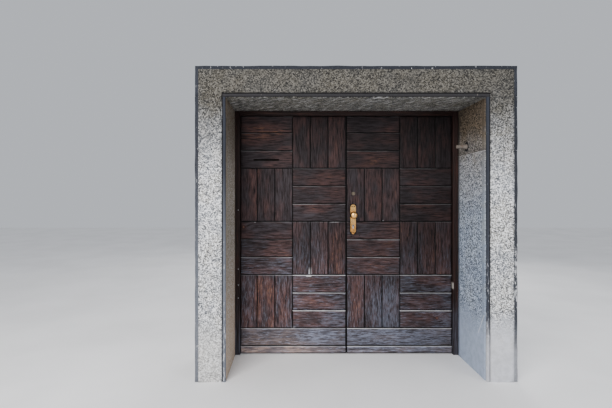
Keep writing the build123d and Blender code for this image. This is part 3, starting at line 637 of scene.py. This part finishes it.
def finishPiece(name, bm, material, body, node=None, sharp=40.0):
    bmesh.ops.recalc_face_normals(bm, faces=bm.faces)
    mesh = meshOf(name, bm)
    mesh.materials.append(material)
    mesh.shade_smooth()
    mesh.set_sharp_from_angle(angle=radians(sharp))
    piece = newObject(name, mesh)
    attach(piece, body)
    if node:
        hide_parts(node)
    return piece


def newObject(name, data):
    made = bpy.data.objects.new(name, data)
    bpy.context.scene.collection.objects.link(made)
    return made


meshRules = {"merge": 0.00002, "flat": 0.6, "cut": 0.00001}


def mergedNode(node):
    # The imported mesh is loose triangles, so the copy is merged
    bm = bmesh.new()
    bm.from_mesh(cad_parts[node].data)
    bmesh.ops.remove_doubles(bm, verts=bm.verts, dist=meshRules["merge"])
    return bm


def copyNode(node):
    # Flat faces are joined as well
    bm = mergedNode(node)
    bmesh.ops.dissolve_limit(bm, angle_limit=radians(meshRules["flat"]), verts=bm.verts, edges=bm.edges)
    return bm


def meshOf(name, bm):
    mesh = bpy.data.meshes.new(name)
    bm.to_mesh(mesh)
    bm.free()
    return mesh


def paint(node, material):
    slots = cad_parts[node].data.materials
    slots.clear()
    slots.append(material)


def cutAcross(bm, point, normal, reach):
    everything = bm.verts[:] + bm.edges[:] + bm.faces[:]
    bmesh.ops.bisect_plane(bm, geom=everything, plane_co=point, plane_no=normal, dist=reach)


def cutEvenly(bm, axis, low, high, pitch):
    # Cuts at even steps between two corners
    length = high[axis] - low[axis]
    steps = max(1, ceil(length / pitch))
    normal = Vector((0.0, 0.0, 0.0))
    normal[axis] = 1.0
    for step in range(1, steps):
        cutAcross(bm, normal * (low[axis] + length * step / steps), normal, meshRules["cut"])


def drawUp(bm, height):
    raised = bmesh.ops.extrude_face_region(bm, geom=bm.faces[:])["geom"]
    topVerts = [item for item in raised if isinstance(item, bmesh.types.BMVert)]
    bmesh.ops.translate(bm, verts=topVerts, vec=(0.0, 0.0, height))


def islandsOf(bm):
    # Each loose solid of a mesh, as a list of its vertices
    left = set(bm.verts)
    found = []
    while left:
        start = left.pop()
        island = [start]
        queue = [start]
        while queue:
            vert = queue.pop()
            for edge in vert.link_edges:
                other = edge.other_vert(vert)
                if other in left:
                    left.remove(other)
                    island.append(other)
                    queue.append(other)
        found.append(island)
    return sorted(found, key=lambda verts: [round(v, 4) for v in cornersOf(verts)[0]])


def cornersOf(verts):
    low = Vector([min(v.co[axis] for v in verts) for axis in range(3)])
    high = Vector([max(v.co[axis] for v in verts) for axis in range(3)])
    return low, high


def solidBoxes(node):
    bm = mergedNode(node)
    boxes = [cornersOf(island) for island in islandsOf(bm)]
    bm.free()
    return boxes


def wave(place, scale, seed):
    return noise.noise(place * scale + Vector((seed, seed * 1.7, -seed)))


# Boards

boardShape = {
    "pitch": 0.019, "lean": 0.0009, "cup": 0.0007, "faceDepth": 0.006,
    "uneven": 0.0006, "unevenScale": 16.0, "edgeWear": 0.0022, "edgeReach": 0.0035, "wearScale": 28.0,
    "chipShare": 0.42, "chipScale": 11.0, "chip": 0.0035, "chipDepthScale": 60.0,
    "standingEdge": 0.38, "baseEdge": {"left": 0.45, "right": 0.95}, "stripEdge": 0.6,
}


def nearness(place, spots):
    # The strongest spot here, fading out from its middle
    best = 0.0
    for x, z, halfWidth, halfHeight, strength in spots:
        share = (1 - ((place.x - x) / halfWidth) ** 2) * (1 - ((place.z - z) / halfHeight) ** 4)
        if abs(place.x - x) < halfWidth and abs(place.z - z) < halfHeight:
            best = max(best, share * strength)
    return best


def markBoard(island, layers, dice, lying, edgeShare):
    # Places along and across the board, and the distance to each of its four edges
    low, high = cornersOf(island)
    along, across = (0, 2) if lying else (2, 0)
    shift = Vector((dice.uniform(0, 40), dice.uniform(0, 40), dice.uniform(0, 40)))
    flip = dice.choice((-1, 1))
    tone = dice.random()
    lift = dice.uniform(0.5, 1.0) * edgeShare
    warm = dice.uniform(-0.35, 0.35)
    for vert in island:
        vert[layers["grain"]] = Vector((vert.co[along] * flip, vert.co[across], vert.co.y)) + shift
        vert[layers["tone"]] = tone
        vert[layers["endLow"]] = vert.co[along] - low[along]
        vert[layers["endHigh"]] = high[along] - vert.co[along]
        vert[layers["sideLow"]] = vert.co[across] - low[across]
        vert[layers["sideHigh"]] = high[across] - vert.co[across]
        vert[layers["upperEdge"]] = high.z - vert.co.z
        vert[layers["lift"]] = lift * (1 - min(1.0, nearness(vert.co, darkEdges)))
        vert[layers["warm"]] = warm + nearness(vert.co, warmPlaces)
        vert[layers["cold"]] = nearness(vert.co, coldPlaces)
    return low, high


def wearBoard(island, low, high, dice, seed):
    shape = boardShape
    leanX = dice.uniform(-1, 1) * shape["lean"]
    leanZ = dice.uniform(-1, 1) * shape["lean"]
    cup = dice.uniform(-0.3, 1.0) * shape["cup"]
    sink = dice.uniform(0.0, 1.0) * shape["lean"]
    for vert in island:
        if vert.co.y > low.y + shape["faceDepth"]:
            continue
        shareX = (vert.co.x - low.x) / (high.x - low.x) * 2 - 1
        shareZ = (vert.co.z - low.z) / (high.z - low.z) * 2 - 1
        short = shareZ if high.x - low.x > high.z - low.z else shareX
        depth = sink + leanX * shareX + leanZ * shareZ + cup * (1 - short * short)
        depth += shape["uneven"] * (0.5 + wave(vert.co, shape["unevenScale"], seed))
        edge = min(vert.co.x - low.x, high.x - vert.co.x, vert.co.z - low.z, high.z - vert.co.z)
        if edge < shape["edgeReach"]:
            depth += shape["edgeWear"] * max(0.0, 0.35 + wave(vert.co, shape["wearScale"], seed + 3))
            if wave(vert.co, shape["chipScale"], seed + 7) > shape["chipShare"]:
                depth += shape["chip"] * abs(wave(vert.co, shape["chipDepthScale"], seed + 9))
        vert.co.y += max(0.0, depth)


def makeBoards(node, name, body, lying, material, seed, edgeShare):
    bm = copyNode(node)
    low, high = cornersOf(bm.verts)
    for axis in (0, 2):
        cutEvenly(bm, axis, low, high, boardShape["pitch"])
    layers = {"grain": bm.verts.layers.float_vector.new("grain")}
    for layer in ("tone", "lift", "warm", "cold", "endLow", "endHigh", "sideLow", "sideHigh", "upperEdge"):
        layers[layer] = bm.verts.layers.float.new(layer)
    dice = random.Random(seed)
    for number, island in enumerate(islandsOf(bm)):
        corners = markBoard(island, layers, dice, lying, edgeShare)
        wearBoard(island, *corners, dice, seed + number * 0.37)
    return finishPiece(name, bm, material, body, node, sharp=35.0)


print("boards")
seed = 11
for side in ("left", "right"):
    body = "leaf_" + side
    for row in range(1, 5):
        for spot in ("outer", "inner"):
            column = {"left": {"outer": 1, "inner": 2}, "right": {"inner": 3, "outer": 4}}[side][spot]
            lying = (row + column) % 2 == 0
            node = f"boards_{side}_row{row}_{spot}"
            name = f"boards{side.title()}Row{row}{spot.title()}"
            edgeShare = 1.0 if lying else boardShape["standingEdge"]
            makeBoards(node, name, body, lying, leafWood, seed, edgeShare)
            seed += 13
    baseEdge = boardShape["baseEdge"][side]
    makeBoards(f"base_board_{side}", f"baseBoard{side.title()}", body, True, footWood, seed + 5, baseEdge)
    makeBoards(
        f"bottom_strip_{side}", f"bottomStrip{side.title()}", body, True, footWood, seed + 8,
        baseEdge * boardShape["stripEdge"],
    )
    seed += 17


# Stone blocks

stoneShape = {
    "pitch": 0.022, "deepPitch": 0.045, "skin": 0.001,
    "uneven": 0.0011, "unevenScale": 14.0, "roughSide": 0.004, "roughScale": 9.0,
    "chipShare": 0.34, "chip": 0.0075, "chipScale": 7.0, "chipReach": 0.034,
}


def wearStone(bm, seed):
    # Everything moves inwards, so the block stays within its solid
    shape = stoneShape
    skin = shape["skin"]
    bm.normal_update()
    moves = []
    for vert in bm.verts:
        flat = vert.co.copy()
        depth = shape["uneven"] * (0.5 + wave(flat, shape["unevenScale"], seed))
        hidden = abs(flat.x) > stoneOuter - skin or flat.z > stoneTop - skin or flat.y > leafBackY - skin
        if hidden:
            depth += shape["roughSide"] * (0.5 + wave(flat, shape["roughScale"], seed + 2))
        nearFront = flat.y < stoneFrontY + shape["chipReach"]
        nearOpening = abs(flat.x) < revealX + shape["chipReach"] and flat.z < openingTop + shape["chipReach"]
        if nearFront and nearOpening:
            chip = wave(flat, shape["chipScale"], seed + 5) - shape["chipShare"]
            depth += max(0.0, chip) * shape["chip"] / (1 - shape["chipShare"])
        moves.append((vert, -vert.normal * max(0.0, depth)))
    for vert, move in moves:
        if vert.co.z < skin:
            move.z = 0.0
        vert.co += move


def makeStoneBlock(node, name, seed):
    bm = copyNode(node)
    low, high = cornersOf(bm.verts)
    longest = 2 if high.z - low.z > high.x - low.x else 0
    cutEvenly(bm, longest, low, high, stoneShape["pitch"])
    for axis in (2 - longest, 1):
        cutEvenly(bm, axis, low, high, stoneShape["deepPitch"])
    wearStone(bm, seed)
    return finishPiece(name, bm, stone, "surround", node)


print("stone")
makeStoneBlock("stone_jamb_left", "stoneJambLeft", 3.1)
makeStoneBlock("stone_jamb_right_lower", "stoneJambRightLower", 5.3)
makeStoneBlock("stone_jamb_right_upper", "stoneJambRightUpper", 8.9)
makeStoneBlock("stone_lintel", "stoneLintel", 12.7)


# Timber with eased edges for the frame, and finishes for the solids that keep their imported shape

timberShape = {"ease": 0.0014, "segments": 2, "sharp": 60.0}


def makeTimber(node, name):
    bm = copyNode(node)
    outward = [
        edge for edge in bm.edges
        if edge.is_manifold and edge.is_convex and edge.calc_face_angle() > radians(timberShape["sharp"])
    ]
    bmesh.ops.bevel(
        bm, geom=outward, offset=timberShape["ease"], offset_type="OFFSET", affect="EDGES",
        segments=timberShape["segments"], profile=0.5, material=-1, clamp_overlap=True,
    )
    return finishPiece(name, bm, frameWood, "surround", node, sharp=30.0)


print("timber")
for side in ("left", "right"):
    makeTimber(f"frame_post_{side}", f"framePost{side.title()}")
makeTimber("frame_head", "frameHead")

corePieces = {
    "hinge_stile": uprightWood, "meeting_stile": uprightWood, "back_panels": uprightWood,
    "top_rail": lyingWood, "middle_rail": lyingWood, "bottom_rail": lyingWood,
}
for side in ("left", "right"):
    for part, material in corePieces.items():
        paint(f"{part}_{side}", material)

fittings = {
    "brass": ["knob_outer_with_spindle", "knob_inner", "back_plates"],
    "tarnish": ["letter_flap"],
    # The cylinder plug takes this dark finish to stand for its keyhole and the painted shade in it
    "dullBrass": ["round_cover", "letter_flap_brackets", "cylinder_plug"],
    "steel": ["cylinder_body", "latch_bolt", "dead_bolt", "strike_plate", "lock_case", "lock_follower"],
    "darkIron": [
        "hinge_frame_halves", "hinge_leaf_halves_left", "hinge_leaf_halves_right",
        "bolt_top", "bolt_bottom", "bolt_staples", "bolt_keeper",
    ],
    "rustyIron": ["wall_pin"],
}
for finish, nodes in fittings.items():
    for node in nodes:
        paint(node, metals[finish])


# Small fittings that the solids leave to this file: slotted screws, nails, the lead collar of the pin

screwShape = {
    "radius": 0.0034, "rise": 0.0010, "round": 0.0005, "slotWidth": 0.0010,
    "slotWall": 0.00012, "slotDepth": 0.0008, "segments": 16, "cut": 0.000001,
}


def screwHead():
    # A low head with a slot, looking up +Z with its seat at the origin
    shape = screwShape
    bm = bmesh.new()
    bmesh.ops.create_circle(bm, cap_ends=True, segments=shape["segments"], radius=shape["radius"])
    drawUp(bm, shape["rise"])
    rim = [edge for edge in bm.edges if all(vert.co.z > shape["rise"] / 2 for vert in edge.verts)]
    bmesh.ops.bevel(
        bm, geom=rim, offset=shape["round"], offset_type="OFFSET", affect="EDGES",
        segments=2, profile=0.5, material=-1,
    )
    for side in (-1, 1):
        cutAcross(bm, (0.0, side * shape["slotWidth"] / 2, 0.0), (0.0, 1.0, 0.0), shape["cut"])
    bm.normal_update()
    top = [
        face for face in bm.faces
        if face.normal.z > 0.99 and abs(face.calc_center_median().y) < shape["slotWidth"] / 4
    ]
    bmesh.ops.inset_region(bm, faces=top, thickness=shape["slotWall"], depth=-shape["slotDepth"])
    return meshOf("screwHead", bm)


nailShape = {
    "radius": 0.0045, "flat": 0.4, "lift": 0.0003, "across": -0.914, "up": [1.223, 0.725, 0.591, 0.481],
}


def nailHead():
    # A hammered dome
    bm = bmesh.new()
    bmesh.ops.create_uvsphere(bm, u_segments=12, v_segments=6, radius=nailShape["radius"])
    bmesh.ops.scale(bm, verts=bm.verts, vec=(1.0, 1.0, nailShape["flat"]))
    return meshOf("nailHead", bm)


def scatter(name, template, spots, material, body, seed, size):
    # Each spot is a place and the way it looks, and each head is turned by its own amount
    bm = bmesh.new()
    dice = random.Random(seed)
    for place, outward in spots:
        before = len(bm.verts)
        bm.from_mesh(template)
        bm.verts.ensure_lookup_table()
        face = Vector(outward).to_track_quat("Z", "Y").to_matrix().to_4x4()
        turned = Matrix.Rotation(dice.uniform(0, pi), 4, "Z") @ Matrix.Scale(size, 4)
        bmesh.ops.transform(bm, matrix=Matrix.Translation(place) @ face @ turned, verts=bm.verts[before:])
    return finishPiece(name, bm, material, body, sharp=35.0)


screwInset = {
    "plateTop": 0.0165, "plateSpread": 0.0095, "plateFoot": 0.0125, "edgePlateEnd": 0.012,
    "edgePlateIn": 0.020, "hingeIn": 0.0115, "hingeEnd": 0.0085, "hingeTall": 0.045, "hingeThick": 0.003,
    "stapleIn": 0.0062, "plateSize": 1.4, "stapleSize": 0.8,
}

towardsStreet = (0.0, -1.0, 0.0)
towardsRoom = (0.0, 1.0, 0.0)
slotted = screwHead()
nail = nailHead()


def plateScrews(box, outward):
    low, high = box
    middle = (low.x + high.x) / 2
    face = low.y if outward == towardsStreet else high.y
    spread = screwInset["plateSpread"]
    spots = [((middle + side * spread, face, high.z - screwInset["plateTop"]), outward) for side in (-1, 1)]
    return spots + [((middle, face, low.z + screwInset["plateFoot"]), outward)]


def hingeScrews(node, barrelAt):
    # The plate is the flat part of each half, away from the barrel at the leaf's edge
    spots = []
    for low, high in solidBoxes(node):
        side = 1 if low.x > 0 else -1
        inner, outer = sorted((abs(low.x), abs(high.x)))
        across = inner + screwInset["hingeIn"] if barrelAt == "outer" else outer - screwInset["hingeIn"]
        face = leafBackY + screwInset["hingeThick"]
        top = min(high.z, low.z + screwInset["hingeTall"])
        for height in (low.z + screwInset["hingeEnd"], (low.z + top) / 2, top - screwInset["hingeEnd"]):
            spots.append(((side * across, face, height), towardsRoom))
    return spots


def edgeScrews(node, outward):
    low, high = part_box(node)
    face = low.x if outward[0] < 0 else high.x
    middle = leafBackY - screwInset["edgePlateIn"]
    end = screwInset["edgePlateEnd"]
    return [((face, middle, height), outward) for height in (low.z + end, high.z - end)]


def stapleScrews(node):
    spots = []
    for low, high in solidBoxes(node):
        for across in (low.x + screwInset["stapleIn"], high.x - screwInset["stapleIn"]):
            spots.append(((across, high.y, (low.z + high.z) / 2), towardsRoom))
    return spots


print("small fittings")
outerPlate, innerPlate = sorted(solidBoxes("back_plates"), key=lambda box: box[0].y)
plateSpots = plateScrews(outerPlate, towardsStreet) + plateScrews(innerPlate, towardsRoom)
plateSize = screwInset["plateSize"]
stapleSize = screwInset["stapleSize"]
screwGroups = [
    ("backPlateScrews", plateSpots, "tarnish", "leaf_right", 4, plateSize),
    ("lockEdgeScrews", edgeScrews("lock_case", (-1.0, 0.0, 0.0)), "steel", "leaf_right", 5, 1.0),
    ("strikeScrews", edgeScrews("strike_plate", (1.0, 0.0, 0.0)), "steel", "leaf_left", 6, 1.0),
    ("frameHingeScrews", hingeScrews("hinge_frame_halves", "inner"), "darkIron", "surround", 7, 1.0),
    ("hingeScrewsLeft", hingeScrews("hinge_leaf_halves_left", "outer"), "darkIron", "leaf_left", 8, 1.0),
    ("hingeScrewsRight", hingeScrews("hinge_leaf_halves_right", "outer"), "darkIron", "leaf_right", 8, 1.0),
    ("stapleScrews", stapleScrews("bolt_staples"), "darkIron", "leaf_left", 9, stapleSize),
    ("keeperScrews", stapleScrews("bolt_keeper"), "darkIron", "surround", 10, stapleSize),
]
for name, spots, finish, body, seed, size in screwGroups:
    scatter(name, slotted, spots, metals[finish], body, seed, size)

nailFace = frameFrontY - nailShape["lift"]
nailSpots = [((nailShape["across"], nailFace, height), towardsStreet) for height in nailShape["up"]]
scatter("postNails", nail, nailSpots, metals["steel"], "surround", 12, 1.0)

gapShadeStripShape = {
    "thick": 0.0016, "reach": 0.0037, "leftY": 0.0080, "rightY": 0.0145, "endGap": 0.002,
    "pitch": 0.05, "segments": 12, "sway": 0.0004,
}


def makeGapShadeStrip(side, depth):
    # A near-black felt strip let into the meeting edge: a dark sheet standing for the shade in the gap, so
    # that no light comes between the leaves
    shape = gapShadeStripShape
    low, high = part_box(f"meeting_stile_{side}")
    edge = high.x if side == "left" else low.x
    bm = bmesh.new()
    bmesh.ops.create_circle(bm, cap_ends=True, segments=shape["segments"], radius=1.0)
    bmesh.ops.scale(bm, verts=bm.verts, vec=(shape["reach"], shape["thick"], 1.0))
    drawUp(bm, high.z - low.z - 2 * shape["endGap"])
    bmesh.ops.translate(bm, verts=bm.verts, vec=(edge, boardFaceY + depth, low.z + shape["endGap"]))
    cutEvenly(bm, 2, low, high, shape["pitch"])
    for vert in bm.verts:
        vert.co.y += shape["sway"] * wave(Vector((0.0, 0.0, vert.co.z)), 9.0, depth)
    return finishPiece(f"gapShadeStrip{side.title()}", bm, gapShadeFelt, f"leaf_{side}", sharp=50.0)


makeGapShadeStrip("left", gapShadeStripShape["leftY"])
makeGapShadeStrip("right", gapShadeStripShape["rightY"])

# Radius and rise from the reveal, from the pin outwards
collarShape = {
    "profile": [(0.0146, 0.024), (0.0168, 0.021), (0.0188, 0.012), (0.0203, 0.004), (0.0215, -0.001)],
    "segments": 28, "lumps": 0.0012,
}


def makePinCollar():
    # Lead run in round the pin, pushed against the reveal
    shape = collarShape
    low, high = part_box("wall_pin")
    centreY = (low.y + high.y) / 2
    centreZ = (low.z + high.z) / 2
    bm = bmesh.new()
    verts = [bm.verts.new((revealX - rise, centreY, centreZ + radius)) for radius, rise in shape["profile"]]
    edges = [bm.edges.new(pair) for pair in zip(verts, verts[1:])]
    bmesh.ops.spin(
        bm, geom=verts + edges, cent=(revealX, centreY, centreZ), axis=(1.0, 0.0, 0.0),
        angle=2 * pi, steps=shape["segments"], use_merge=True,
    )
    bmesh.ops.remove_doubles(bm, verts=bm.verts, dist=0.00001)
    for vert in bm.verts:
        out = Vector((0.0, vert.co.y - centreY, vert.co.z - centreZ))
        if out.length > shape["profile"][0][0] + 0.001:
            vert.co += out.normalized() * shape["lumps"] * wave(vert.co, 60.0, 2.0)
    loops = [edge for edge in bm.edges if edge.is_boundary]
    bmesh.ops.bridge_loops(bm, edges=loops)
    return finishPiece("pinCollar", bm, metals["rustyIron"], "surround")


makePinCollar()


# Camera, floor and lights

view = {
    "place": (-0.4743, -3.2686, 1.3423), "lens": 24.0, "sensor": 36.0, "shiftX": 0.0255, "shiftY": -0.0132,
}

cameraData = bpy.data.cameras.new("photoView")
cameraData.lens = view["lens"]
cameraData.sensor_width = view["sensor"]
cameraData.shift_x = view["shiftX"]
cameraData.shift_y = view["shiftY"]
camera = newObject("photoView", cameraData)
camera.location = view["place"]
camera.rotation_euler = Euler((pi / 2, 0.0, 0.0))
bpy.context.scene.camera = camera

stageLook = {
    "floor": tint(0.92, 0.91, 0.905), "floorSize": 14.0, "sky": tint(0.86, 0.90, 0.97), "skyStrength": 0.66,
}

floorMesh = bmesh.new()
bmesh.ops.create_grid(floorMesh, x_segments=2, y_segments=2, size=stageLook["floorSize"])
floorMaterial, floorGraph = newMaterial("paleFloor", roughness=0.85)
floorTone = floorGraph.noise(floorGraph.place(), 1.2, 3.0, 0.5)
connect(floorMaterial, Base_Color=floorGraph.shade(
    1.0, stageLook["floor"], floorGraph.grey(floorGraph.ramp(floorTone, 0.3, 0.7, 0.96, 1.04))
))
floorData = meshOf("floor", floorMesh)
floorData.materials.append(floorMaterial)
floor = newObject("floor", floorData)

world = bpy.data.worlds.new("studio")
world.use_nodes = True
backdrop = world.node_tree.nodes["Background"].inputs
backdrop["Color"].default_value = stageLook["sky"]
backdrop["Strength"].default_value = stageLook["skyStrength"]
bpy.context.scene.world = world

# Place, aim, size, power and colour
lamps = {
    "key": ((-2.6, -4.8, 3.3), (0.1, 0.0, 0.9), 3.4, 430.0, (1.0, 0.985, 0.975)),
    "fill": ((3.8, -3.6, 2.2), (0.0, 0.0, 0.9), 3.0, 90.0, (0.92, 0.95, 1.0)),
    "back": ((1.5, 5.0, 3.5), (0.0, 0.2, 1.0), 3.0, 160.0, (1.0, 1.0, 1.0)),
}
for name, (place, aim, size, power, colour) in lamps.items():
    lampData = bpy.data.lights.new(name, "AREA")
    lampData.shape = "SQUARE"
    lampData.size = size
    lampData.energy = power
    lampData.color = colour
    lampObject = newObject(name, lampData)
    lampObject.location = place
    direction = Vector(aim) - Vector(place)
    lampObject.rotation_euler = direction.to_track_quat("-Z", "Y").to_euler()

print("finish")
